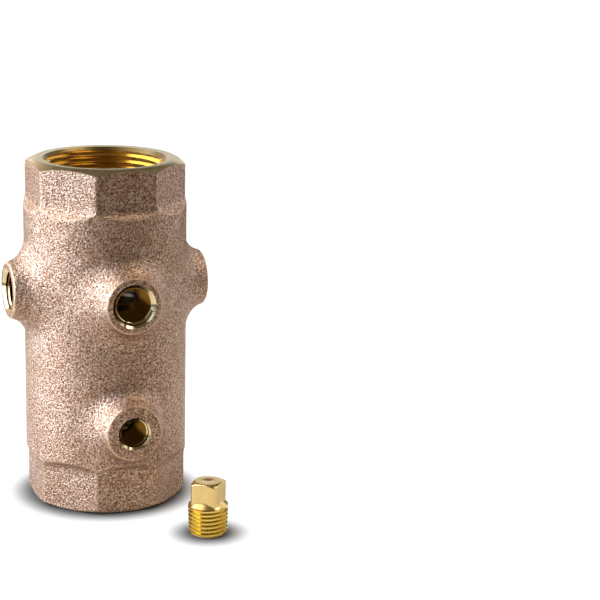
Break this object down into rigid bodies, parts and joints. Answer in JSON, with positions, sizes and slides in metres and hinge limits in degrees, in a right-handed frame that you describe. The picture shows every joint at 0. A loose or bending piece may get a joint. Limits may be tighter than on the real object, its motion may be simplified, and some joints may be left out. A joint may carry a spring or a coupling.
{
  "type": "backflow preventer",
  "caption": "Straight cast bronze check valve: octagonal wrench ends, female pipe threads, tapped side bosses, a sprung poppet inside and a loose square-head plug.",
  "frame": {"origin": "on the pipe axis at the inlet face, which the valve stands on", "axes": "+Z along the pipe in the direction of flow, -Y out of the front and low ports, -X out of the left port"},
  "size_m": [0.0688, 0.0932, 0.119],
  "materials": {
    "cast_bronze": "sand cast, fine grain",
    "machined_brass": "turned",
    "plug_brass": "polished",
    "stainless": "bright drawn",
    "black_rubber": "moulded",
    "white_acetal": "turned"
  },
  "bodies": {
    "body": {"valve_body": "cast_bronze", "seat_ring": "machined_brass", "seat_o_ring": "black_rubber", "lower_bush": "white_acetal", "check_cage": "machined_brass", "upper_bush": "white_acetal", "closing_spring": "stainless", "spring_washer": "stainless", "snap_ring": "stainless"},
    "poppet": {"poppet_disc": "machined_brass", "poppet_stem": "stainless", "seal_disc": "black_rubber", "seal_washer": "stainless", "seal_nut": "stainless"},
    "plug": {"pipe_plug": "plug_brass"}
  },
  "joints": [
    {"name": "poppet_lift", "type": "slide", "parent": "body", "child": "poppet", "axis": [0, 0, 1], "range_m": [0, 0.0065], "stiffness_N_per_m": 150, "springref_m": -0.01, "deforming": ["closing_spring"]},
    {"name": "plug_lift", "type": "slide", "parent": "body", "child": "plug", "axis": [0, 0, 1], "range_m": [0, 0.06]}
  ]
}
